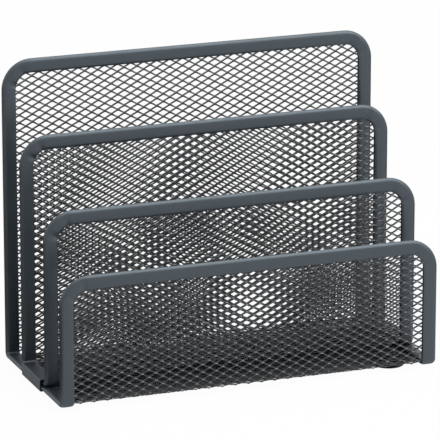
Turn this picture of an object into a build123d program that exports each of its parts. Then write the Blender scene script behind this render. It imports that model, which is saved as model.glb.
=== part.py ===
"""Letter holder: four stepped panels of expanded steel mesh in folded rims, with three compartments between.

Frame: +Z up, +Y towards the tall back panel, +X to the right seen from the front. The origin is on the desk
under the middle of the holder. All sizes are in millimetres.
"""
import os
from math import atan2, degrees

from build123d import *

# Outer sheet: back panel, base and front panel, bent from one piece
outer_width = 175.0
outer_depth = 78.5
back_height = 136.0
front_height = 58.5

# Inner sheet: two dividers and the floor between them, heights from the same level as the outer panels
inner_depth = 34.0
inner_setback = 0.9
inner_side_gap = 0.75
rear_divider_height = 106.7
front_divider_height = 81.0

# Expanded mesh, drawn as a net coarser than the real one
mesh_thickness = 1.0
cell_width = 23.0
cell_height = 13.5
strand_width = 2.4

# Folded rim: a strip folded into a channel that grips the edge of the mesh
rim_width = 5.8
rim_wall = 0.5
rim_edge_radius = 0.9
rim_play = 0.15
corner_inner_radius = 7.2
bend_inner_radius = 0.7

# Clips that clamp the stacked base rims
clip_thickness = 0.4
clip_lip = 3.0
clip_edge_radius = 0.5
clip_end_gap = 1.5

# Self-adhesive feet
foot_diameter = 14.5
foot_thickness = 2.6
foot_edge_radius = 0.5
foot_side_inset = 17.0
foot_end_inset = 20.5
front_right_foot_inset = 14.4

# Sizes that follow from the ones above
inner_width = outer_width - 2 * inner_side_gap
slot_width = mesh_thickness + 2 * rim_play
rim_thickness = slot_width + 2 * rim_wall
mesh_edge_inset = rim_wall + rim_play
corner_radius = corner_inner_radius + rim_width
bend_radius = bend_inner_radius + rim_thickness
base_level = foot_thickness - mesh_edge_inset
inner_level = base_level + rim_thickness
back_y = outer_depth / 2 - rim_thickness / 2
front_y = -back_y
rear_divider_y = inner_setback + inner_depth / 2 - rim_thickness / 2
front_divider_y = inner_setback - inner_depth / 2 + rim_thickness / 2
bend_middle_radius = bend_inner_radius + rim_thickness / 2
corner_middle_radius = corner_inner_radius + rim_width / 2

os.makedirs("parts", exist_ok=True)


def save(piece, name):
    """Label a finished piece and write it to its own file."""
    piece.label = name
    export_step(piece, f"parts/{name}.step")


def rim_hoop(width, panel_y, level, height):
    """Folded rim of one panel: along half the base, up a side, over the top and down again."""
    leg_x = width / 2 - rim_width / 2
    run_z = level + rim_thickness / 2
    crest_z = base_level + height - rim_width / 2
    with BuildPart() as hoop:
        with BuildLine() as route:
            FilletPolyline(
                (-leg_x, inner_setback, run_z),
                (-leg_x, panel_y, run_z),
                (-leg_x, panel_y, crest_z),
                (leg_x, panel_y, crest_z),
                (leg_x, panel_y, run_z),
                (leg_x, inner_setback, run_z),
                radius=[bend_middle_radius, corner_middle_radius, corner_middle_radius, bend_middle_radius],
            )
        with BuildSketch(Plane(origin=route.line @ 0, x_dir=(-1, 0, 0), z_dir=route.line % 0)) as channel:
            Rectangle(rim_width, rim_thickness)
            fillet(channel.vertices().group_by(Axis.X)[-1], rim_edge_radius)
            with Locations((-rim_wall, 0)):
                Rectangle(rim_width, slot_width, mode=Mode.SUBTRACT)
        sweep(path=route.line)
    return hoop.part


def net_gaps(plane, width, low, high, corner):
    """Diamond gaps of the net in one flat window: the window less two families of slanted strands."""
    columns = max(1, round(width / cell_width))
    rows = max(1, round((high - low) / cell_height))
    pitch_x = width / columns
    pitch_y = (high - low) / rows
    tilt = degrees(atan2(pitch_y, pitch_x))
    middle = (low + high) / 2
    strand_length = 2 * (width + high - low)
    strand_xs = [(k + 0.5 - (columns + rows) / 2) * pitch_x for k in range(columns + rows)]
    with BuildSketch(plane) as gaps:
        with Locations((0, middle)):
            Rectangle(width, high - low)
        if corner:
            fillet(gaps.vertices().group_by(Axis.Y)[-1], corner)
        for slant in (tilt, -tilt):
            with Locations(*[Location((x, middle), slant) for x in strand_xs]):
                Rectangle(strand_length, strand_width, mode=Mode.SUBTRACT)
    return gaps.sketch


def mesh_sheet(width, rear_y, fore_y, level, rear_height, fore_height):
    """Mesh sheet bent twice: a tall rear panel, a floor and a lower front panel, cut to a net."""
    run_z = level + rim_thickness / 2
    rear_top = base_level + rear_height
    fore_top = base_level + fore_height
    window = width - 2 * rim_width
    low = level + bend_radius + strand_width / 2
    floor_margin = bend_radius - rim_thickness / 2 + strand_width / 2
    windows = [net_gaps(Plane.XY.offset(run_z), window, fore_y + floor_margin, rear_y - floor_margin, 0)]
    for panel_y, top in ((rear_y, rear_top), (fore_y, fore_top)):
        upright = Plane(origin=(0, panel_y, 0), x_dir=(1, 0, 0), z_dir=(0, -1, 0))
        windows.append(net_gaps(upright, window, low, top - rim_width, corner_inner_radius))
    with BuildPart() as sheet:
        with BuildSketch(Plane.YZ):
            with BuildLine():
                FilletPolyline(
                    (fore_y, fore_top - mesh_edge_inset),
                    (fore_y, run_z),
                    (rear_y, run_z),
                    (rear_y, rear_top - mesh_edge_inset),
                    radius=bend_middle_radius,
                )
            trace(line_width=mesh_thickness)
        extrude(amount=width / 2 - mesh_edge_inset, both=True)
        top_corners = sheet.edges().filter_by(Axis.Y).filter_by(lambda edge: edge.length < 2 * mesh_thickness)
        fillet(top_corners, corner_radius - mesh_edge_inset)
        for gaps in windows:
            extrude(gaps, amount=mesh_thickness, both=True, mode=Mode.SUBTRACT)
    return sheet.part


# Outer sheet and its two rims
save(mesh_sheet(outer_width, back_y, front_y, base_level, back_height, front_height), "outer_mesh")
save(rim_hoop(outer_width, back_y, base_level, back_height), "outer_rear_rim")
save(rim_hoop(outer_width, front_y, base_level, front_height), "outer_front_rim")

# Inner sheet and its two rims, standing on the outer base
save(
    mesh_sheet(
        inner_width, rear_divider_y, front_divider_y, inner_level, rear_divider_height, front_divider_height
    ),
    "inner_mesh",
)
save(rim_hoop(inner_width, rear_divider_y, inner_level, rear_divider_height), "inner_rear_rim")
save(rim_hoop(inner_width, front_divider_y, inner_level, front_divider_height), "inner_front_rim")

# Clips over the seams of the base rims, one on each side
clip_length = inner_depth - 2 * bend_radius - 2 * clip_end_gap
stack_height = 2 * rim_thickness
for name, side in (("left_clip", -1), ("right_clip", 1)):
    with BuildPart() as clip:
        with BuildSketch(Plane.XZ.offset(-inner_setback)):
            with Locations((side * (outer_width / 2 + clip_thickness), base_level + stack_height / 2)):
                outward = Align.MIN if side < 0 else Align.MAX
                Rectangle(
                    clip_lip + clip_thickness,
                    stack_height + 2 * clip_thickness,
                    align=(outward, Align.CENTER),
                )
            with Locations((side * outer_width / 2, base_level + stack_height / 2)):
                Rectangle(clip_lip, stack_height, align=(outward, Align.CENTER), mode=Mode.SUBTRACT)
        extrude(amount=clip_length / 2, both=True)
        folds = clip.edges().filter_by(Axis.Y).group_by(Axis.X)[0 if side < 0 else -1]
        fillet(folds, clip_edge_radius)
    save(clip.part, name)

# Round pads stuck under the mesh of the base
foot_x = outer_width / 2 - foot_side_inset
foot_y = outer_depth / 2 - foot_end_inset
foot_places = {
    "front_left_foot": (-foot_x, -foot_y),
    "front_right_foot": (foot_x, front_right_foot_inset - outer_depth / 2),
    "rear_left_foot": (-foot_x, foot_y),
    "rear_right_foot": (foot_x, foot_y),
}
for name, (x, y) in foot_places.items():
    with BuildPart(Plane(origin=(x, y, 0))) as foot:
        Cylinder(foot_diameter / 2, foot_thickness, align=(Align.CENTER, Align.CENTER, Align.MIN))
        fillet(foot.edges().group_by(Axis.Z)[0], foot_edge_radius)
    save(foot.part, name)
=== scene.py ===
"""Looks of the letter holder: expanded steel mesh in folded rims, clips and pads, under soft studio light.

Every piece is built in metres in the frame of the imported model: +X right, +Y towards the back, +Z up.
"""

import logging
import math
import random
from dataclasses import dataclass
from enum import Enum
from typing import List, Sequence, Tuple, Union

import bmesh
import bpy
from mathutils import Matrix, Vector


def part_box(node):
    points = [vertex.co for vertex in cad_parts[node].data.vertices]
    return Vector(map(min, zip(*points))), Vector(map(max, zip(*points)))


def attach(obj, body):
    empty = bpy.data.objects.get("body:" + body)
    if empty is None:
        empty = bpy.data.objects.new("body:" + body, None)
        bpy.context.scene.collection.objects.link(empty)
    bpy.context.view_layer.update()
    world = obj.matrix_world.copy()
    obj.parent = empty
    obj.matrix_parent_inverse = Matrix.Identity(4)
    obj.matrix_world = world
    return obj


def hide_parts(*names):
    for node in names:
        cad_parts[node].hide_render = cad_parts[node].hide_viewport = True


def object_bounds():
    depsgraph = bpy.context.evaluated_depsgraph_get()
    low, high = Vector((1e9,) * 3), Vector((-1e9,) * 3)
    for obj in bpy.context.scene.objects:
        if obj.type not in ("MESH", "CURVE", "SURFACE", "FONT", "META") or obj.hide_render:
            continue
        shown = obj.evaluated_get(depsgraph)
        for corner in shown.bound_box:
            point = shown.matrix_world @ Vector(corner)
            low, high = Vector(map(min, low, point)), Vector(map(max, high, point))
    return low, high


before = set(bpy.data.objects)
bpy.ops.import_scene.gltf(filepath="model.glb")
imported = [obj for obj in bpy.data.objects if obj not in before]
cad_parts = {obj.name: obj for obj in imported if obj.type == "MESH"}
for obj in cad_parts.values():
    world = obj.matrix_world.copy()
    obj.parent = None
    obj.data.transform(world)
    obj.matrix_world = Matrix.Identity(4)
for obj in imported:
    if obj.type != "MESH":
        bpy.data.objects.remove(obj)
CAD_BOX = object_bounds()

log = logging.getLogger("letter_holder")

MM = 0.001
BODY = "root"
QUARTER_TURN = math.pi / 2
NET_CREASE_DEG = 50
FOLD_CREASE_DEG = 40
STRAND_JOIN = 0.01 * MM
SPIN_JOIN = 0.001 * MM
SPARE_CELLS = 4
WHITE = (1.0, 1.0, 1.0, 1.0)
Socket = bpy.types.NodeSocket
Value = Union[float, Socket]


class Panel(Enum):
    """A panel of a bent sheet, by the way it lies from the middle of the sheet along Y."""

    REAR = 1
    FRONT = -1


class Slot(Enum):
    """Material slots of the record."""

    MESH = "mesh_coat"
    RIM = "rim_coat"
    PAD = "pad_foam"


class Nodes:
    """Short calls that add and join the nodes of one tree."""

    def __init__(self, tree: bpy.types.NodeTree) -> None:
        """Work on the given tree."""
        self.tree = tree

    def add(self, kind: str, **settings: object) -> bpy.types.Node:
        """Add a node.

        Args:
            kind: Blender's type name of the node.
            settings: properties to set on it.

        Returns:
            The new node.
        """
        node = self.tree.nodes.new(kind)
        for name, value in settings.items():
            setattr(node, name, value)
        return node

    def feed(self, socket: Socket, value: object) -> None:
        """Link a socket into an input, or set the input to a plain value."""
        if isinstance(value, Socket):
            self.tree.links.new(value, socket)
        else:
            socket.default_value = value

    def wire(self, kind: str, inputs: dict, **settings: object) -> bpy.types.Node:
        """Add a node and feed its inputs by name or number.

        Args:
            kind: Blender's type name of the node.
            inputs: sockets or plain values by input name or number.
            settings: properties to set on the node.

        Returns:
            The new node.
        """
        node = self.add(kind, **settings)
        for name, value in inputs.items():
            self.feed(node.inputs[name], value)
        return node

    def math(self, operation: str, first: Value, second: Value = 0.0) -> Socket:
        """Add a Math node.

        Args:
            operation: the operation's name.
            first: first operand.
            second: second operand, where the operation has one.

        Returns:
            The node's result.
        """
        return self.wire("ShaderNodeMath", {0: first, 1: second}, operation=operation).outputs[0]


@dataclass(frozen=True)
class PowderCoat:
    """Baked powder coat on steel: a fine orange peel with a faint mottle."""

    name: str
    colour: Tuple[float, float, float]
    deep_colour: Tuple[float, float, float]
    roughness: Tuple[float, float]
    sheen_level: float
    sheen_tint: Tuple[float, float, float]
    glass_index: float = 1.5
    peel_size: float = 0.45 * MM
    peel_depth: float = 0.02 * MM
    peel_strength: float = 0.35
    peel_detail: float = 2.0
    mottle_size: float = 9.0 * MM
    mottle_detail: float = 4.0
    mottle_band: Tuple[float, float] = (0.3, 0.7)

    def material(self) -> bpy.types.Material:
        """Build the node material of this finish."""
        made = bpy.data.materials.new(self.name)
        made.use_nodes = True
        nodes = Nodes(made.node_tree)
        shader = made.node_tree.nodes["Principled BSDF"]
        place = nodes.add("ShaderNodeTexCoord").outputs["Object"]
        mottle = nodes.wire(
            "ShaderNodeTexNoise",
            {"Vector": place, "Scale": 1.0 / self.mottle_size, "Detail": self.mottle_detail},
        ).outputs["Fac"]
        tint = nodes.wire(
            "ShaderNodeMix",
            {0: mottle, 6: (*self.deep_colour, 1.0), 7: (*self.colour, 1.0)},
            data_type="RGBA",
        )
        nodes.feed(shader.inputs["Base Color"], tint.outputs[2])
        gloss = nodes.wire(
            "ShaderNodeMapRange",
            {
                "Value": mottle,
                "From Min": self.mottle_band[0],
                "From Max": self.mottle_band[1],
                "To Min": self.roughness[0],
                "To Max": self.roughness[1],
            },
        )
        nodes.feed(shader.inputs["Roughness"], gloss.outputs["Result"])
        shader.inputs["IOR"].default_value = self.glass_index
        shader.inputs["Specular IOR Level"].default_value = self.sheen_level
        shader.inputs["Specular Tint"].default_value = (*self.sheen_tint, 1.0)
        peel = nodes.wire(
            "ShaderNodeTexNoise",
            {"Vector": place, "Scale": 1.0 / self.peel_size, "Detail": self.peel_detail},
        ).outputs["Fac"]
        bump = nodes.wire(
            "ShaderNodeBump", {"Height": peel, "Strength": self.peel_strength, "Distance": self.peel_depth}
        )
        nodes.feed(shader.inputs["Normal"], bump.outputs["Normal"])
        return made


@dataclass(frozen=True)
class FoamRubber:
    """Closed-cell foam rubber of the pads: matt, with small pores."""

    name: str
    colour: Tuple[float, float, float]
    roughness: float = 0.85
    pore_size: float = 0.35 * MM
    pore_depth: float = 0.06 * MM
    pore_strength: float = 0.5

    def material(self) -> bpy.types.Material:
        """Build the node material of this finish."""
        made = bpy.data.materials.new(self.name)
        made.use_nodes = True
        nodes = Nodes(made.node_tree)
        shader = made.node_tree.nodes["Principled BSDF"]
        shader.inputs["Base Color"].default_value = (*self.colour, 1.0)
        shader.inputs["Roughness"].default_value = self.roughness
        place = nodes.add("ShaderNodeTexCoord").outputs["Object"]
        pores = nodes.wire("ShaderNodeTexVoronoi", {"Vector": place, "Scale": 1.0 / self.pore_size})
        bump = nodes.wire(
            "ShaderNodeBump",
            {
                "Height": pores.outputs["Distance"],
                "Strength": self.pore_strength,
                "Distance": self.pore_depth,
            },
        )
        nodes.feed(shader.inputs["Normal"], bump.outputs["Normal"])
        return made


MESH_COAT = PowderCoat(
    name="charcoal_mesh_coat",
    colour=(0.008, 0.009, 0.010),
    deep_colour=(0.006, 0.007, 0.008),
    roughness=(0.28, 0.36),
    sheen_level=0.95,
    sheen_tint=(0.90, 0.95, 1.0),
)
RIM_COAT = PowderCoat(
    name="charcoal_rim_coat",
    colour=(0.005, 0.0065, 0.008),
    deep_colour=(0.004, 0.005, 0.0065),
    roughness=(0.42, 0.50),
    sheen_level=0.96,
    sheen_tint=(0.755, 0.89, 1.0),
    glass_index=1.63,
)
PAD_FOAM = FoamRubber("black_pad_foam", (0.012, 0.012, 0.013))


def add_piece(name: str, mesh: bpy.types.Mesh) -> bpy.types.Object:
    """Link a mesh into the scene as an object at the origin."""
    piece = bpy.data.objects.new(name, mesh)
    bpy.context.scene.collection.objects.link(piece)
    return piece


def soften(mesh: bpy.types.Mesh, angle_deg: float) -> None:
    """Shade a mesh smooth, with edges sharper than the angle kept crisp."""
    mesh.shade_smooth()
    mesh.set_sharp_from_angle(angle=math.radians(angle_deg))


def hand_over(piece: bpy.types.Object, nodes: Sequence[str]) -> None:
    """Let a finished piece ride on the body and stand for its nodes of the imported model."""
    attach(piece, BODY)
    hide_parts(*nodes)
    log.info("%s: %d faces, for %s", piece.name, len(piece.data.polygons), ", ".join(nodes))


@dataclass(frozen=True)
class RimGauge:
    """Section of the folded rim, and the radii that it is bent to."""

    width: float = 6.35 * MM
    thickness: float = 2.3 * MM
    wall: float = 0.5 * MM
    edge_radius: float = 1.1 * MM
    edge_run: float = 1.8 * MM
    lip_curl: float = 0.6 * MM
    lip_run: float = 1.3 * MM
    lip_pinch: float = 0.06 * MM
    crown: float = 0.14 * MM
    corner_inner_radius: float = 7.2 * MM
    bend_inner_radius: float = 0.7 * MM

    @property
    def corner_radius(self) -> float:
        """Radius of the middle of the rim round a top corner."""
        return self.corner_inner_radius + self.width / 2

    @property
    def bend_radius(self) -> float:
        """Radius of the middle of the sheet round the bend at the foot of a panel."""
        return self.bend_inner_radius + self.thickness / 2


@dataclass(frozen=True)
class MeshGauge:
    """Sizes of the expanded steel mesh, whose diamonds lie on their long side."""

    cell_width: float = 6.1 * MM
    cell_height: float = 3.472 * MM
    strand: float = 0.60 * MM
    thickness: float = 0.5 * MM
    bond: float = 0.7 * MM
    bond_taper: float = 0.3 * MM
    twist_deg: float = 20.0
    crown_twist_deg: float = -48.0
    heel_twist_deg: float = 0.0

    def nearest_knuckle(self, spot: Vector) -> Vector:
        """Place of the knuckle of the even mesh that is nearest to a spot."""
        cell = Vector((self.cell_width, self.cell_height))
        near = []
        for part in (0.0, 0.5):
            near.append(Vector([(round(at / size - part) + part) * size for at, size in zip(spot, cell)]))
        return min(near, key=lambda place: (place - spot).length)

    def knuckle(self) -> bpy.types.Mesh:
        """Mesh of one knuckle with the four half strands that leave it.

        Returns:
            A mesh in the plane of the sheet, open where the half strands meet their neighbours.
        """
        half = self.bond / 2
        end = half + self.bond_taper
        up = Vector((0, 1, 0))
        rise, rise_thick = self._turned(up, self.crown_twist_deg)
        drop, drop_thick = self._turned(up, self.heel_twist_deg)
        mid_thick = (rise_thick + drop_thick).normalized()
        crown, middle, heel = (rise, rise_thick), (up * 0.0, mid_thick), (-drop, drop_thick)
        core = ((-half, crown), (-end, middle), (-half, heel), (half, heel), (end, middle), (half, crown))
        places = [(Vector((x, 0, 0)) + way * self.strand, thick) for x, (way, thick) in core]
        run = Vector((self.cell_width / 2 - half - end, self.cell_height / 2 - self.strand)).normalized()
        for side_x, side_y in ((1, 1), (-1, 1), (-1, -1), (1, -1)):
            tip = Vector((side_x * self.cell_width / 4, side_y * self.cell_height / 4, 0))
            wide, thick = self._turned(Vector((-run.y * side_x * side_y, run.x, 0)), self.twist_deg)
            places += [(tip + wide * self.strand * edge, thick) for edge in (0.5, -0.5)]
        return self._thicken(places)

    @staticmethod
    def _turned(across: Vector, turn_deg: float) -> Tuple[Vector, Vector]:
        """Ways along the width and the thickness of a bar that is turned about its own length.

        Args:
            across: way along the width before the turn, in the plane of the sheet.
            turn_deg: how far the bar is turned.
        """
        turn = math.radians(turn_deg)
        off = Vector((0, 0, 1))
        return across * math.cos(turn) + off * math.sin(turn), off * math.cos(turn) - across * math.sin(turn)

    def _thicken(self, places: Sequence[Tuple[Vector, Vector]]) -> bpy.types.Mesh:
        """Give the middle points of a knuckle two skins and the walls between them.

        Args:
            places: six points round the bond, then an upper and a lower corner for each strand's end. Each
                comes with the way along its thickness.

        Returns:
            The knuckle's mesh.
        """
        crown_left, left, heel_left, heel_right, right, crown_right = range(6)
        strands = (
            (6, 7, crown_right, right),
            (8, 9, crown_left, left),
            (10, 11, left, heel_left),
            (12, 13, right, heel_right),
        )
        skin = [(crown_left, left, right, crown_right), (left, heel_left, heel_right, right)]
        walls = [(crown_left, crown_right), (heel_left, heel_right)]
        for upper, lower, upper_root, lower_root in strands:
            skin.append((upper_root, upper, lower, lower_root))
            walls += [(upper_root, upper), (lower, lower_root)]
        count = len(places)
        points = [spot + thick * side * self.thickness for side in (0.5, -0.5) for spot, thick in places]
        faces = skin + [tuple(index + count for index in reversed(face)) for face in skin]
        faces += [(a, b, b + count, a + count) for a, b in walls]
        made = bpy.data.meshes.new("knuckle")
        made.from_pydata(points, [], faces)
        return made


FOLD_PRESS = 0.8


@dataclass(frozen=True)
class MeshLay:
    """How the mesh lies on one panel after stretching, cutting and bending."""

    cell_width: float
    cell_height: float
    turn_deg: float
    skew: float
    knuckle: Tuple[float, float]

    def pull(self, gauge: MeshGauge, way: int, rise: float) -> Tuple[Vector, Vector]:
        """Coefficients that carry a point of an even blank to its place on the real one.

        Args:
            gauge: the even mesh.
            way: the panel's way along Y.
            rise: length of the blank from the middle of the floor to level zero of the panel.

        Returns:
            Coefficients of the place across and of the place along, for the even place across, along and one.
        """
        slant = math.radians(self.turn_deg)
        wide = self.cell_width / gauge.cell_width
        tall = self.cell_height / gauge.cell_height * way
        up = Vector((math.sin(slant) * wide, math.cos(slant) * tall))
        across = Vector((math.cos(slant) * wide, -math.sin(slant) * tall)) - up * self.skew
        along = up * way
        spot = Vector((self.knuckle[0], way * (self.knuckle[1] + rise)))
        even = gauge.nearest_knuckle(spot)
        return (
            Vector((*across, spot.x - across.dot(even))),
            Vector((*along, spot.y - along.dot(even))),
        )


@dataclass
class BentSheet:
    """Mesh sheet bent twice into a rear panel, a floor and a front panel."""

    node: str
    rims: Tuple[str, str]
    rim: RimGauge
    gauge: MeshGauge
    lays: Tuple[MeshLay, MeshLay]
    edge_inset: float = 3.4 * MM

    def sizes(self) -> dict:
        """Sizes of the flat blank and its bends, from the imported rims, named for the tree's inputs."""
        rear_low, rear_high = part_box(self.rims[0])
        front_low, front_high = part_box(self.rims[1])
        rear_y = rear_high.y - self.rim.thickness / 2
        front_y = front_low.y + self.rim.thickness / 2
        level = rear_low.z + self.rim.thickness / 2
        bend = self.rim.bend_radius
        floor_half = (rear_y - front_y) / 2 - bend
        rise = floor_half + bend * QUARTER_TURN - level - bend
        pulls = {}
        for name, panel, lay in (("Rear", Panel.REAR, self.lays[0]), ("Front", Panel.FRONT, self.lays[1])):
            pulls[f"{name} across"], pulls[f"{name} along"] = lay.pull(self.gauge, panel.value, rise)
        return {
            **pulls,
            "Half width": rear_high.x,
            "Rear length": rear_high.z + rise,
            "Front length": front_high.z + rise,
            "Corner radius": self.rim.corner_radius + self.rim.width / 2,
            "Edge inset": self.edge_inset,
            "Floor half": floor_half,
            "Bend radius": bend,
            "Middle": (rear_y + front_y) / 2,
            "Level": level,
        }

    def build(self, coat: bpy.types.Material) -> bpy.types.Object:
        """Make the sheet with Geometry Nodes and turn it into a plain mesh.

        Args:
            coat: material of the sheet.

        Returns:
            The finished piece.
        """
        sizes = self.sizes()
        knuckle = add_piece("knuckle_pattern", self.gauge.knuckle())
        columns = 2 * math.ceil(sizes["Half width"] / self.gauge.cell_width) + SPARE_CELLS
        rows = 2 * math.ceil(sizes["Rear length"] / self.gauge.cell_height) + SPARE_CELLS
        inputs = {
            "Knuckle": knuckle,
            "Columns": columns,
            "Rows": rows,
            "Cell width": self.gauge.cell_width,
            "Cell height": self.gauge.cell_height,
            **sizes,
            "Coat": coat,
        }
        piece = add_piece(f"{self.node}_net", bpy.data.meshes.new(f"{self.node}_blank"))
        modifier = piece.modifiers.new("expand", "NODES")
        modifier.node_group = expanding_tree()
        for socket in modifier.node_group.interface.items_tree:
            if socket.in_out == "INPUT":
                modifier[socket.identifier] = inputs[socket.name]
        net = bpy.data.meshes.new_from_object(piece.evaluated_get(bpy.context.evaluated_depsgraph_get()))
        piece.modifiers.clear()
        piece.data = net
        net.name = f"{self.node}_net"
        self._cap(net)
        soften(net, NET_CREASE_DEG)
        bpy.data.objects.remove(knuckle)
        return piece

    @staticmethod
    def _cap(net: bpy.types.Mesh) -> None:
        """Close the cut ends of the strands along the edge of the sheet."""
        work = bmesh.new()
        work.from_mesh(net)
        open_edges = [edge for edge in work.edges if edge.is_boundary]
        bmesh.ops.holes_fill(work, edges=open_edges, sides=4)
        bmesh.ops.recalc_face_normals(work, faces=work.faces)
        work.to_mesh(net)
        work.free()


def expanding_tree() -> bpy.types.NodeTree:
    """Geometry Nodes tree that lays knuckles on a flat blank, trims it to its outline and bends it.

    Returns:
        The tree. The flat blank has its width along X and its length along Y, from the middle of the floor.
    """
    tree = bpy.data.node_groups.new("expanded_sheet", "GeometryNodeTree")
    kinds = {
        "Knuckle": "NodeSocketObject",
        "Columns": "NodeSocketInt",
        "Rows": "NodeSocketInt",
        "Coat": "NodeSocketMaterial",
    }
    for end in ("Rear", "Front"):
        for axis in ("across", "along"):
            kinds[f"{end} {axis}"] = "NodeSocketVector"
    lengths = (
        "Cell width", "Cell height", "Half width", "Rear length", "Front length", "Corner radius",
        "Edge inset", "Floor half", "Bend radius", "Middle", "Level",
    )
    for name in (*kinds, *lengths):
        tree.interface.new_socket(name, in_out="INPUT", socket_type=kinds.get(name, "NodeSocketFloat"))
    tree.interface.new_socket("Sheet", in_out="OUTPUT", socket_type="NodeSocketGeometry")
    nodes = Nodes(tree)
    given = nodes.add("NodeGroupInput").outputs
    points = lattice(nodes, given)
    kept = trim(nodes, given, points)
    pattern = nodes.wire("GeometryNodeObjectInfo", {"Object": given["Knuckle"], "As Instance": True})
    laid = nodes.wire(
        "GeometryNodeInstanceOnPoints", {"Points": kept, "Instance": pattern.outputs["Geometry"]}
    ).outputs["Instances"]
    solid = nodes.wire("GeometryNodeRealizeInstances", {"Geometry": laid}).outputs["Geometry"]
    joined = nodes.wire("GeometryNodeMergeByDistance", {"Geometry": solid, "Distance": STRAND_JOIN})
    bent = bend(nodes, given, joined.outputs["Geometry"])
    coated = nodes.wire("GeometryNodeSetMaterial", {"Geometry": bent, "Material": given["Coat"]})
    nodes.wire("NodeGroupOutput", {"Sheet": coated.outputs["Geometry"]})
    return tree


def lattice(nodes: Nodes, given: bpy.types.NodeOutputs) -> Socket:
    """Points of all knuckles on the flat blank: two grids, half a cell apart both ways.

    Args:
        nodes: the tree to build in.
        given: the tree's inputs.

    Returns:
        The points as a geometry socket.
    """
    spans = [
        nodes.math("MULTIPLY", given["Cell width"], given["Columns"]),
        nodes.math("MULTIPLY", given["Cell height"], given["Rows"]),
    ]
    counts = [nodes.math("ADD", given["Columns"], 1), nodes.math("ADD", given["Rows"], 1)]
    grid = nodes.wire(
        "GeometryNodeMeshGrid",
        {"Size X": spans[0], "Size Y": spans[1], "Vertices X": counts[0], "Vertices Y": counts[1]},
    ).outputs["Mesh"]
    joined = nodes.add("GeometryNodeJoinGeometry")
    for part in (0.0, 0.5):
        across = nodes.math("MULTIPLY", given["Cell width"], part)
        along = nodes.math("MULTIPLY", given["Cell height"], part)
        offset = nodes.wire("ShaderNodeCombineXYZ", {"X": across, "Y": along}).outputs["Vector"]
        moved = nodes.wire("GeometryNodeTransform", {"Geometry": grid, "Translation": offset})
        nodes.feed(joined.inputs["Geometry"], moved.outputs["Geometry"])
    return joined.outputs["Geometry"]


def pulled(nodes: Nodes, given: bpy.types.NodeOutputs) -> Tuple[Socket, Socket, Socket]:
    """Places of the even blank's points on the real one, whose two panels lie a little askew.

    Args:
        nodes: the tree to build in.
        given: the tree's inputs.

    Returns:
        The places across and along, and the height over the blank's middle plane.
    """
    even = nodes.wire("ShaderNodeSeparateXYZ", {0: nodes.add("GeometryNodeInputPosition").outputs[0]}).outputs
    point = nodes.wire("ShaderNodeCombineXYZ", {"X": even["X"], "Y": even["Y"], "Z": 1.0}).outputs["Vector"]
    share = nodes.wire(
        "ShaderNodeMapRange",
        {
            "Value": even["Y"],
            "From Min": nodes.math("MULTIPLY", given["Floor half"], -1),
            "From Max": given["Floor half"],
        },
    ).outputs["Result"]
    front, rear = [
        [dot(nodes, point, given[f"{end} {axis}"]) for axis in ("across", "along")]
        for end in ("Front", "Rear")
    ]
    across, along = [
        nodes.wire("ShaderNodeMix", {0: share, 2: ends[0], 3: ends[1]}, data_type="FLOAT").outputs[0]
        for ends in zip(front, rear)
    ]
    return across, along, even["Z"]


def dot(nodes: Nodes, first: Socket, second: Socket) -> Socket:
    """Dot product of two vectors in a tree."""
    return nodes.wire("ShaderNodeVectorMath", {0: first, 1: second}, operation="DOT_PRODUCT").outputs["Value"]


def trim(nodes: Nodes, given: bpy.types.NodeOutputs, points: Socket) -> Socket:
    """Drop the points outside the blank's outline, a rectangle with rounded corners.

    Args:
        nodes: the tree to build in.
        given: the tree's inputs.
        points: the points to trim.

    Returns:
        The points that are left.
    """
    across, along, _ = pulled(nodes, given)
    to_rear = nodes.math("GREATER_THAN", along, 0)
    end = nodes.wire(
        "GeometryNodeSwitch",
        {"Switch": to_rear, "False": given["Front length"], "True": given["Rear length"]},
        input_type="FLOAT",
    ).outputs[0]
    past = []
    for place, limit in ((across, given["Half width"]), (along, end)):
        distance = nodes.math("SUBTRACT", nodes.math("ABSOLUTE", place), limit)
        past.append(nodes.math("ADD", distance, given["Corner radius"]))
    squares = [nodes.math("POWER", nodes.math("MAXIMUM", value, 0), 2) for value in past]
    outside = nodes.math("SQRT", nodes.math("ADD", *squares))
    inside = nodes.math("MINIMUM", nodes.math("MAXIMUM", *past), 0)
    distance = nodes.math("SUBTRACT", nodes.math("ADD", outside, inside), given["Corner radius"])
    beyond = nodes.math("GREATER_THAN", nodes.math("ADD", distance, given["Edge inset"]), 0)
    return nodes.wire(
        "GeometryNodeDeleteGeometry", {"Geometry": points, "Selection": beyond}, domain="POINT"
    ).outputs["Geometry"]


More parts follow.
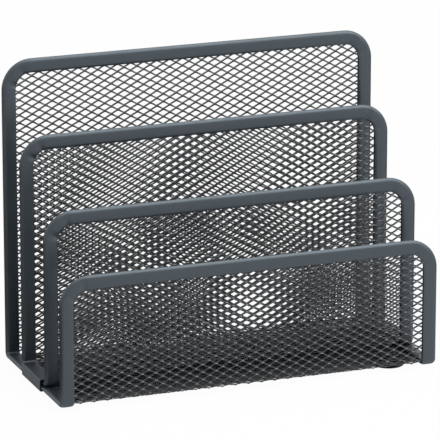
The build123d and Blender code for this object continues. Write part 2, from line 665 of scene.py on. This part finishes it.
def bend(nodes: Nodes, given: bpy.types.NodeOutputs, blank: Socket) -> Socket:
    """Bend the flat blank up at both ends of its floor and put it in its place.

    Args:
        nodes: the tree to build in.
        given: the tree's inputs.
        blank: the flat sheet.

    Returns:
        The bent sheet.
    """
    across, along, off = pulled(nodes, given)
    run = nodes.math("ABSOLUTE", along)
    past_floor = nodes.math("SUBTRACT", run, given["Floor half"])
    turn = nodes.math("DIVIDE", past_floor, given["Bend radius"])
    turn = nodes.math("MINIMUM", nodes.math("MAXIMUM", turn, 0), QUARTER_TURN)
    pressed = nodes.math("MULTIPLY", nodes.math("SINE", nodes.math("MULTIPLY", turn, 2)), FOLD_PRESS)
    off = nodes.math("MULTIPLY", off, nodes.math("SUBTRACT", 1, pressed))
    arm = nodes.math("SUBTRACT", given["Bend radius"], off)
    climb = nodes.math("SUBTRACT", past_floor, nodes.math("MULTIPLY", given["Bend radius"], QUARTER_TURN))
    swing = nodes.math("MULTIPLY", arm, nodes.math("SINE", turn))
    reach = nodes.math("ADD", nodes.math("MINIMUM", run, given["Floor half"]), swing)
    reach = nodes.math("MULTIPLY", reach, nodes.math("SIGN", along))
    level_arm = nodes.math("MULTIPLY", arm, nodes.math("COSINE", turn))
    height = nodes.math("SUBTRACT", given["Bend radius"], level_arm)
    height = nodes.math("ADD", height, nodes.math("MAXIMUM", climb, 0))
    spot = nodes.wire(
        "ShaderNodeCombineXYZ",
        {
            "X": across,
            "Y": nodes.math("ADD", given["Middle"], reach),
            "Z": nodes.math("ADD", given["Level"], height),
        },
    ).outputs["Vector"]
    return nodes.wire("GeometryNodeSetPosition", {"Geometry": blank, "Position": spot}).outputs["Geometry"]


BACK_LAY = MeshLay(
    cell_width=6.11 * MM, cell_height=3.46 * MM, turn_deg=0.2, skew=0.0, knuckle=(0.0, 68.0 * MM),
)
REAR_DIVIDER_LAY = MeshLay(
    cell_width=5.97 * MM, cell_height=3.46 * MM, turn_deg=-1.5, skew=0.015, knuckle=(-0.9 * MM, 54.9 * MM),
)
FRONT_DIVIDER_LAY = MeshLay(
    cell_width=6.04 * MM, cell_height=3.54 * MM, turn_deg=1.8, skew=-0.02, knuckle=(0.5 * MM, 42.4 * MM),
)
FRONT_LAY = MeshLay(
    cell_width=6.18 * MM, cell_height=3.40 * MM, turn_deg=-1.2, skew=0.07, knuckle=(1.4 * MM, 31.1 * MM),
)
OUTER_LAYS = (BACK_LAY, FRONT_LAY)
INNER_LAYS = (REAR_DIVIDER_LAY, FRONT_DIVIDER_LAY)


@dataclass(frozen=True)
class Dent:
    """A shallow dent that folding left on the inner side of a rounded corner."""

    turn: float
    spread: float
    depth: float

    def at(self, turn: float) -> float:
        """Depth of the dent at an angle round the corner."""
        return self.depth * math.exp(-(((turn - self.turn) / self.spread) ** 2))


@dataclass(frozen=True)
class Station:
    """A place along the rim: its middle, the ways out of the panel and off its face, and its corner angle."""

    spot: Vector
    outward: Vector
    off_face: Vector
    turn: float = -1.0
    corner: int = -1

    def mirrored(self) -> "Station":
        """The same place on the right side of the holder."""
        flip = Vector((-1, 1, 1))
        spot, outward, off_face = self.spot * flip, self.outward * flip, self.off_face * flip
        return Station(spot, outward, off_face, self.turn, self.corner + 1)


@dataclass
class FoldedRim:
    """Folded rim of one panel: along half the floor, up one side, over the top and down the other."""

    node: str
    panel: Panel
    gauge: RimGauge
    seed: int
    corner_steps: int = 30
    bend_steps: int = 8
    edge_steps: int = 7
    face_steps: int = 4
    dents_per_corner: int = 2
    dented_faces: int = 4
    dent_place: Tuple[float, float] = (0.35, 0.65)
    dent_spread: Tuple[float, float] = (0.12, 0.19)
    dent_depth: Tuple[float, float] = (0.28 * MM, 0.44 * MM)
    dent_reach: float = 0.75
    dent_fall: float = 1.5
    dent_fade: float = 1.5

    def stations(self) -> List[Station]:
        """Places along the rim, from the seam on the left to the seam on the right."""
        low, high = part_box(self.node)
        way = self.panel.value
        gauge = self.gauge
        leg_x = low.x + gauge.width / 2
        seam_y = low.y if self.panel is Panel.REAR else high.y
        panel_y = (high.y if self.panel is Panel.REAR else low.y) - way * gauge.thickness / 2
        run_z = low.z + gauge.thickness / 2
        crest_z = high.z - gauge.width / 2
        left, aside = Vector((-1, 0, 0)), Vector((0, way, 0))
        down, up = Vector((0, 0, -1)), Vector((0, 0, 1))
        hub = Vector((leg_x, panel_y - way * gauge.bend_radius, run_z + gauge.bend_radius))
        places = [Station(Vector((leg_x, seam_y, run_z)), left, down)]
        for step in range(self.bend_steps + 1):
            turn = QUARTER_TURN * step / self.bend_steps
            off = aside * math.sin(turn) + down * math.cos(turn)
            places.append(Station(hub + off * gauge.bend_radius, left, off))
        centre = Vector((leg_x + gauge.corner_radius, panel_y, crest_z - gauge.corner_radius))
        for step in range(self.corner_steps + 1):
            turn = QUARTER_TURN * step / self.corner_steps
            out = up * math.sin(turn) + left * math.cos(turn)
            places.append(Station(centre + out * gauge.corner_radius, out, aside, turn, 0))
        return places + [place.mirrored() for place in reversed(places)]

    def section(self) -> List[Tuple[float, float]]:
        """Outline of the folded channel: distance out of the panel and off its middle plane."""
        gauge = self.gauge
        half, lip = gauge.thickness / 2, gauge.width / 2
        slot = half - gauge.wall
        radius = gauge.edge_radius
        outline = []
        for step in range(self.edge_steps + 1):
            turn = QUARTER_TURN * (1 - step / self.edge_steps)
            fall = gauge.lip_curl * (1 - math.cos(turn))
            outline.append((-lip + gauge.lip_run * (1 - math.sin(turn)), half - fall))
        for step in range(1, self.face_steps):
            flat = gauge.width - gauge.lip_run - gauge.edge_run
            outline.append((-lip + gauge.lip_run + flat * step / self.face_steps, half))
        for step in range(self.edge_steps + 1):
            turn = QUARTER_TURN * step / self.edge_steps
            out = lip - gauge.edge_run * (1 - math.sin(turn))
            outline.append((out, half - radius * (1 - math.cos(turn))))
        outline = [(x, y - gauge.crown * (x / lip) ** 2 * y / half) for x, y in outline]
        outline += [(x, -y) for x, y in reversed(outline)]
        inner = [(-lip, -slot + gauge.lip_pinch), (lip - gauge.wall, -slot), (lip - gauge.wall, slot)]
        return outline + inner + [(-lip, slot - gauge.lip_pinch)]

    def dents(self) -> List[List[Dent]]:
        """Dents of the two corners on the two faces, in a fixed random spread."""
        draw = random.Random(self.seed)
        spots = []
        for _ in range(self.dented_faces):
            spots.append([
                Dent(
                    (index + draw.uniform(*self.dent_place)) * QUARTER_TURN / self.dents_per_corner,
                    draw.uniform(*self.dent_spread),
                    draw.uniform(*self.dent_depth),
                )
                for index in range(self.dents_per_corner)
            ])
        return spots

    def build(self, coat: bpy.types.Material) -> bpy.types.Object:
        """Sweep the folded section along the rim and press the dents into its corners.

        Args:
            coat: material of the rim.

        Returns:
            The finished piece.
        """
        section = self.section()
        dents = self.dents()
        work = bmesh.new()
        rings = []
        for place in self.stations():
            ring = []
            for out, off in section:
                pressed = off - math.copysign(self._dent(place, out, off, dents), off)
                ring.append(work.verts.new(place.spot + place.outward * out + place.off_face * pressed))
            rings.append(ring)
        count = len(section)
        for ring, following in zip(rings, rings[1:]):
            for index in range(count):
                after = (index + 1) % count
                work.faces.new((ring[index], ring[after], following[after], following[index]))
        work.faces.new(list(reversed(rings[0])))
        work.faces.new(rings[-1])
        bmesh.ops.recalc_face_normals(work, faces=work.faces)
        mesh = bpy.data.meshes.new(f"{self.node}_fold")
        work.to_mesh(mesh)
        work.free()
        soften(mesh, FOLD_CREASE_DEG)
        mesh.materials.append(coat)
        return add_piece(f"{self.node}_fold", mesh)

    def _dent(self, place: Station, out: float, off: float, dents: List[List[Dent]]) -> float:
        """How deep a point of the section is pressed in at a station."""
        if place.corner < 0 or place.turn < 0:
            return 0.0
        face = place.corner * 2 + (0 if off > 0 else 1)
        inward = max(0.0, self.dent_reach - self.dent_fall * out / self.gauge.width) ** self.dent_fade
        outer_skin = min(1.0, abs(off) / self.gauge.thickness * 2)
        return inward * outer_skin * sum(dent.at(place.turn) for dent in dents[face])


@dataclass
class RimClip:
    """Folded plate that clamps the stacked rims of the two floors together."""

    node: str
    thickness: float = 0.4 * MM
    fold_radius: float = 0.55 * MM
    least_radius: float = 0.05 * MM
    fold_steps: int = 4

    def build(self, coat: bpy.types.Material) -> bpy.types.Object:
        """Fold the plate round the rims.

        Args:
            coat: material of the clip.

        Returns:
            The finished piece.
        """
        low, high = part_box(self.node)
        side = 1 if low.x > 0 else -1
        outer_x = high.x if side > 0 else low.x
        lip = high.x - low.x
        middle_z = (low.z + high.z) / 2
        half = (high.z - low.z) / 2
        arc = [QUARTER_TURN * step / self.fold_steps for step in range(self.fold_steps + 1)]
        radius = self.fold_radius
        outside = [(lip, half)]
        outside += [(radius * (1 - math.sin(turn)), half - radius * (1 - math.cos(turn))) for turn in arc]
        inner = max(radius - self.thickness, self.least_radius)
        slot = half - self.thickness
        inside = [(lip, slot)]
        inside += [
            (self.thickness + inner * (1 - math.sin(turn)), slot - inner * (1 - math.cos(turn)))
            for turn in arc
        ]
        outline = outside + [(x, -z) for x, z in reversed(outside)]
        outline += [(x, -z) for x, z in inside] + list(reversed(inside))
        work = bmesh.new()
        ends = []
        for y in (low.y, high.y):
            ends.append([work.verts.new((outer_x - side * x, y, middle_z + z)) for x, z in outline])
        for index in range(len(outline)):
            after = (index + 1) % len(outline)
            work.faces.new((ends[0][index], ends[0][after], ends[1][after], ends[1][index]))
        for end in ends:
            work.faces.new(end)
        bmesh.ops.recalc_face_normals(work, faces=work.faces)
        mesh = bpy.data.meshes.new(f"{self.node}_plate")
        work.to_mesh(mesh)
        work.free()
        soften(mesh, FOLD_CREASE_DEG)
        mesh.materials.append(coat)
        return add_piece(f"{self.node}_plate", mesh)


@dataclass
class StuckFoot:
    """Round foam pad stuck under the floor."""

    node: str
    edge_radius: float = 0.6 * MM
    edge_steps: int = 4
    flat_share: float = 0.55
    bulge: float = 0.12 * MM
    bulge_share: float = 0.75
    segments: int = 48

    def build(self, foam: bpy.types.Material) -> bpy.types.Object:
        """Turn the pad's profile round its middle.

        Args:
            foam: material of the pad.

        Returns:
            The finished piece.
        """
        low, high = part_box(self.node)
        centre = (low + high) / 2
        radius = (high.x - low.x) / 2
        height = high.z - low.z
        edge = self.edge_radius
        profile = [(0.0, 0.0), (radius * self.flat_share, 0.0)]
        for step in range(self.edge_steps + 1):
            turn = QUARTER_TURN * step / self.edge_steps
            profile.append((radius - edge + edge * math.sin(turn), edge - edge * math.cos(turn)))
        profile.append((radius - self.bulge, height * self.bulge_share))
        profile += [(radius - 2 * self.bulge, height), (0.0, height)]
        work = bmesh.new()
        spin = [work.verts.new((x, 0, z)) for x, z in profile]
        edges = [work.edges.new(pair) for pair in zip(spin, spin[1:])]
        bmesh.ops.spin(
            work, geom=spin + edges, cent=(0, 0, 0), axis=(0, 0, 1), angle=math.tau, steps=self.segments
        )
        bmesh.ops.remove_doubles(work, verts=work.verts, dist=SPIN_JOIN)
        bmesh.ops.recalc_face_normals(work, faces=work.faces)
        bmesh.ops.translate(work, verts=work.verts, vec=(centre.x, centre.y, low.z))
        mesh = bpy.data.meshes.new(f"{self.node}_pad")
        work.to_mesh(mesh)
        work.free()
        soften(mesh, FOLD_CREASE_DEG)
        mesh.materials.append(foam)
        return add_piece(f"{self.node}_pad", mesh)


@dataclass(frozen=True)
class Shade:
    """Shade on the floor under the holder, painted into the floor's colour or left to real light where its
    white glow stops: distances past its edges where dark ends and white is reached.
    """

    front: Tuple[float, float]
    back: Tuple[float, float]
    side: Tuple[float, float]
    slide: float = 2 * MM

    def clear(self, nodes: Nodes) -> Socket:
        """Share of the floor's white, none in the shade and all outside it."""
        low, high = CAD_BOX
        spot = nodes.add("ShaderNodeTexCoord").outputs["Object"]
        place = nodes.wire("ShaderNodeSeparateXYZ", {0: spot}).outputs
        aside = nodes.math("ABSOLUTE", nodes.math("SUBTRACT", place["X"], self.slide))
        gaps = (
            (nodes.math("SUBTRACT", low.y, place["Y"]), self.front),
            (nodes.math("SUBTRACT", place["Y"], high.y), self.back),
            (nodes.math("SUBTRACT", aside, high.x), self.side),
        )
        share = 0.0
        for gap, (dark, white) in gaps:
            ramp = nodes.wire(
                "ShaderNodeMapRange", {"Value": gap, "From Min": dark, "From Max": white},
                interpolation_type="SMOOTHSTEP",
            )
            share = nodes.math("MAXIMUM", ramp.outputs["Result"], share)
        return share


SEEN_SHADE = Shade(
    front=(-14 * MM, -11 * MM), back=(-5 * MM, 7 * MM), side=(-4 * MM, -1 * MM)
)
# Painted shade: inside this the floor's colour is dark, standing for the deep shadow under the holder, and
# gloss rays see no white glow there.
PAINTED_SHADE = Shade(
    front=(-11 * MM, 0.0), back=(1 * MM, 16 * MM), side=(-1 * MM, 10 * MM)
)


@dataclass
class Studio:
    """White floor with painted shade under the holder, soft lamps, dark cards that only gloss mirrors, and
    the camera of the photograph.
    """

    azimuth_deg: float = -20.78
    elevation_deg: float = 16.02
    focal_px: float = 4000.0
    image_px: float = 440.0
    distance: float = 1.7603
    aim: Tuple[float, float, float] = (0.0, 0.75 * MM, 61.95 * MM)
    aim_px: Tuple[float, float] = (219.16, 230.74)
    sensor_width: float = 36.0
    clip: Tuple[float, float] = (0.05, 50.0)
    ambient: float = 0.25
    lamp_size: float = 1.5
    key_spot: Tuple[float, float, float] = (0.8, -1.0, 1.1)
    key_power: float = 22.0
    top_spot: Tuple[float, float, float] = (0.15, 0.1, 2.0)
    top_power: float = 15.0
    floor_size: float = 6.0
    floor_roughness: float = 0.9
    # Painted shade: the floor's colour under the holder.
    floor_painted_shade: float = 0.12
    floor_pale: float = 0.86
    floor_seen: float = 0.97
    floor_mirrored: float = 0.5
    card_tone: float = 0.05
    card_roughness: float = 0.95
    card_lift: float = 0.4 * MM
    flag_near: Tuple[float, float] = (0.10, 0.20)
    flag_far: float = 0.75
    flag_front: Tuple[float, float] = (-0.20, -0.10)
    flag_back: float = 0.75
    screen_y: float = -2.2
    screen_x: Tuple[float, float] = (-1.0, 3.0)
    screen_z: Tuple[float, float] = (0.15, 1.2)

    def place_camera(self) -> None:
        """Set the camera where the photograph was taken from."""
        turn, lift = math.radians(self.azimuth_deg), math.radians(self.elevation_deg)
        back = Vector((math.sin(turn) * math.cos(lift), -math.cos(turn) * math.cos(lift), math.sin(lift)))
        right = Vector((math.cos(turn), math.sin(turn), 0.0))
        up = back.cross(right)
        per_px = self.distance / self.focal_px
        slide = right * (self.image_px / 2 - self.aim_px[0]) * per_px
        slide += up * (self.aim_px[1] - self.image_px / 2) * per_px
        spot = Vector(self.aim) + back * self.distance + slide
        lens = bpy.data.cameras.new("camera")
        lens.sensor_width = self.sensor_width
        lens.lens = self.focal_px / self.image_px * lens.sensor_width
        lens.clip_start, lens.clip_end = self.clip
        camera = bpy.data.objects.new("camera", lens)
        camera.matrix_world = Matrix((right, up, back)).transposed().to_4x4()
        camera.location = spot
        bpy.context.scene.collection.objects.link(camera)
        bpy.context.scene.camera = camera

    def lamp(self, name: str, spot: Tuple[float, float, float], power: float) -> None:
        """Hang a square soft lamp that looks at the middle of the holder.

        Args:
            name: the lamp's name.
            spot: where it hangs.
            power: its power in watts.
        """
        light = bpy.data.lights.new(name, "AREA")
        light.shape = "SQUARE"
        light.size = self.lamp_size
        light.energy = power
        lamp = bpy.data.objects.new(name, light)
        lamp.location = spot
        lamp.rotation_mode = "QUATERNION"
        lamp.rotation_quaternion = (Vector(self.aim) - Vector(spot)).to_track_quat("-Z", "Y")
        bpy.context.scene.collection.objects.link(lamp)

    def white_for_viewers(self, nodes: Nodes, camera: Value, gloss: Value) -> Socket:
        """Share of plain white that rays meet.

        Args:
            nodes: the tree to build in.
            camera: share for rays from the camera.
            gloss: share for rays from gloss and through glass.

        Returns:
            The share, which is none for the light that falls on things.
        """
        path = nodes.add("ShaderNodeLightPath").outputs
        mirrored = nodes.math("MAXIMUM", path["Is Glossy Ray"], path["Is Transmission Ray"])
        direct = nodes.math("MULTIPLY", path["Is Camera Ray"], camera)
        return nodes.math("MAXIMUM", direct, nodes.math("MULTIPLY", mirrored, gloss))

    def build(self) -> None:
        """Set up the world, the floor, the cards, the lamps and the camera."""
        self.light_world()
        self.lay_floor()
        self.lay_flags()
        self.lamp("key_lamp", self.key_spot, self.key_power)
        self.lamp("top_lamp", self.top_spot, self.top_power)
        self.place_camera()

    def light_world(self) -> None:
        """Give the world a soft white light that shows as plain white."""
        world = bpy.data.worlds.new("white_room")
        bpy.context.scene.world = world
        world.use_nodes = True
        nodes = Nodes(world.node_tree)
        glow = world.node_tree.nodes["Background"]
        glow.inputs["Color"].default_value = WHITE
        strength = nodes.wire(
            "ShaderNodeMapRange",
            {"Value": self.white_for_viewers(nodes, 1.0, 1.0), "To Min": self.ambient, "To Max": 1.0},
        )
        nodes.feed(glow.inputs["Strength"], strength.outputs["Result"])

    def lay_floor(self) -> None:
        """Lay a white floor that shows as white, with a soft shadow and painted shade under the holder: a
        dark floor colour there, which gloss also sees.
        """
        half = self.floor_size / 2
        mesh = bpy.data.meshes.new("floor")
        corners = [(-half, -half, 0), (half, -half, 0), (half, half, 0), (-half, half, 0)]
        mesh.from_pydata(corners, [], [(0, 1, 2, 3)])
        floor = add_piece("floor", mesh)
        paper = bpy.data.materials.new("white_paper_with_painted_shade")
        paper.use_nodes = True
        nodes = Nodes(paper.node_tree)
        shader = paper.node_tree.nodes["Principled BSDF"]
        shader.inputs["Roughness"].default_value = self.floor_roughness
        # Painted shade: the floor's colour goes from pale to dark under the holder, standing for its deep
        # shadow.
        clear_of_painted_shade = PAINTED_SHADE.clear(nodes)
        dark, pale = [(tone, tone, tone, 1.0) for tone in (self.floor_painted_shade, self.floor_pale)]
        sheet = nodes.wire("ShaderNodeMix", {0: clear_of_painted_shade, 6: dark, 7: pale}, data_type="RGBA")
        nodes.feed(shader.inputs["Base Color"], sheet.outputs[2])
        glow = nodes.wire("ShaderNodeEmission", {"Color": WHITE, "Strength": 1.0})
        seen = nodes.math("MULTIPLY", SEEN_SHADE.clear(nodes), self.floor_seen)
        mirrored = nodes.math("MULTIPLY", clear_of_painted_shade, self.floor_mirrored)
        share = self.white_for_viewers(nodes, seen, mirrored)
        mix = nodes.wire("ShaderNodeMixShader", {0: share, 1: shader.outputs[0], 2: glow.outputs[0]})
        output = paper.node_tree.nodes["Material Output"]
        nodes.feed(output.inputs["Surface"], mix.outputs[0])
        mesh.materials.append(paper)

    def lay_flags(self) -> None:
        """Lay dark cards to the left and right and stand a screen in front, which the coat mirrors."""
        card = bpy.data.materials.new("dark_card")
        card.use_nodes = True
        shader = card.node_tree.nodes["Principled BSDF"]
        shader.inputs["Base Color"].default_value = (self.card_tone, self.card_tone, self.card_tone, 1.0)
        shader.inputs["Roughness"].default_value = self.card_roughness
        far, back = self.flag_far, self.flag_back
        sides = (("left_flag", -1), ("right_flag", 1))
        cards = {}
        for (name, side), near, front in zip(sides, self.flag_near, self.flag_front):
            spots = ((near, front), (far, front), (far, back), (near, back))
            cards[name] = [(side * x, y, self.card_lift) for x, y in spots]
        (left, right), (low, high) = self.screen_x, self.screen_z
        spots = ((left, low), (right, low), (right, high), (left, high))
        cards["front_screen"] = [(x, self.screen_y, z) for x, z in spots]
        for name, corners in cards.items():
            mesh = bpy.data.meshes.new(name)
            mesh.from_pydata(corners, [], [(0, 1, 2, 3)])
            mesh.materials.append(card)
            flag = add_piece(name, mesh)
            flag.visible_camera = False
            flag.visible_diffuse = False
            flag.visible_shadow = False


def main() -> None:
    """Build every sub-assembly in order and report each piece."""
    logging.basicConfig(level=logging.INFO, format="%(name)s %(message)s")
    bpy.context.scene.view_settings.view_transform = "Standard"
    mesh_coat = MESH_COAT.material()
    rim_coat = RIM_COAT.material()
    foam = PAD_FOAM.material()
    rim, gauge = RimGauge(), MeshGauge()

    sheets = [
        BentSheet("outer_mesh", ("outer_rear_rim", "outer_front_rim"), rim, gauge, OUTER_LAYS),
        BentSheet("inner_mesh", ("inner_rear_rim", "inner_front_rim"), rim, gauge, INNER_LAYS),
    ]
    for sheet in sheets:
        hand_over(sheet.build(mesh_coat), [sheet.node])

    rims = [
        FoldedRim("outer_rear_rim", Panel.REAR, rim, seed=3),
        FoldedRim("outer_front_rim", Panel.FRONT, rim, seed=5),
        FoldedRim("inner_rear_rim", Panel.REAR, rim, seed=8),
        FoldedRim("inner_front_rim", Panel.FRONT, rim, seed=13),
    ]
    for fold in rims:
        hand_over(fold.build(rim_coat), [fold.node])

    for node in ("left_clip", "right_clip"):
        hand_over(RimClip(node).build(rim_coat), [node])
    for node in ("front_left_foot", "front_right_foot", "rear_left_foot", "rear_right_foot"):
        hand_over(StuckFoot(node).build(foam), [node])

    Studio().build()


if __name__ == "__main__":
    main()
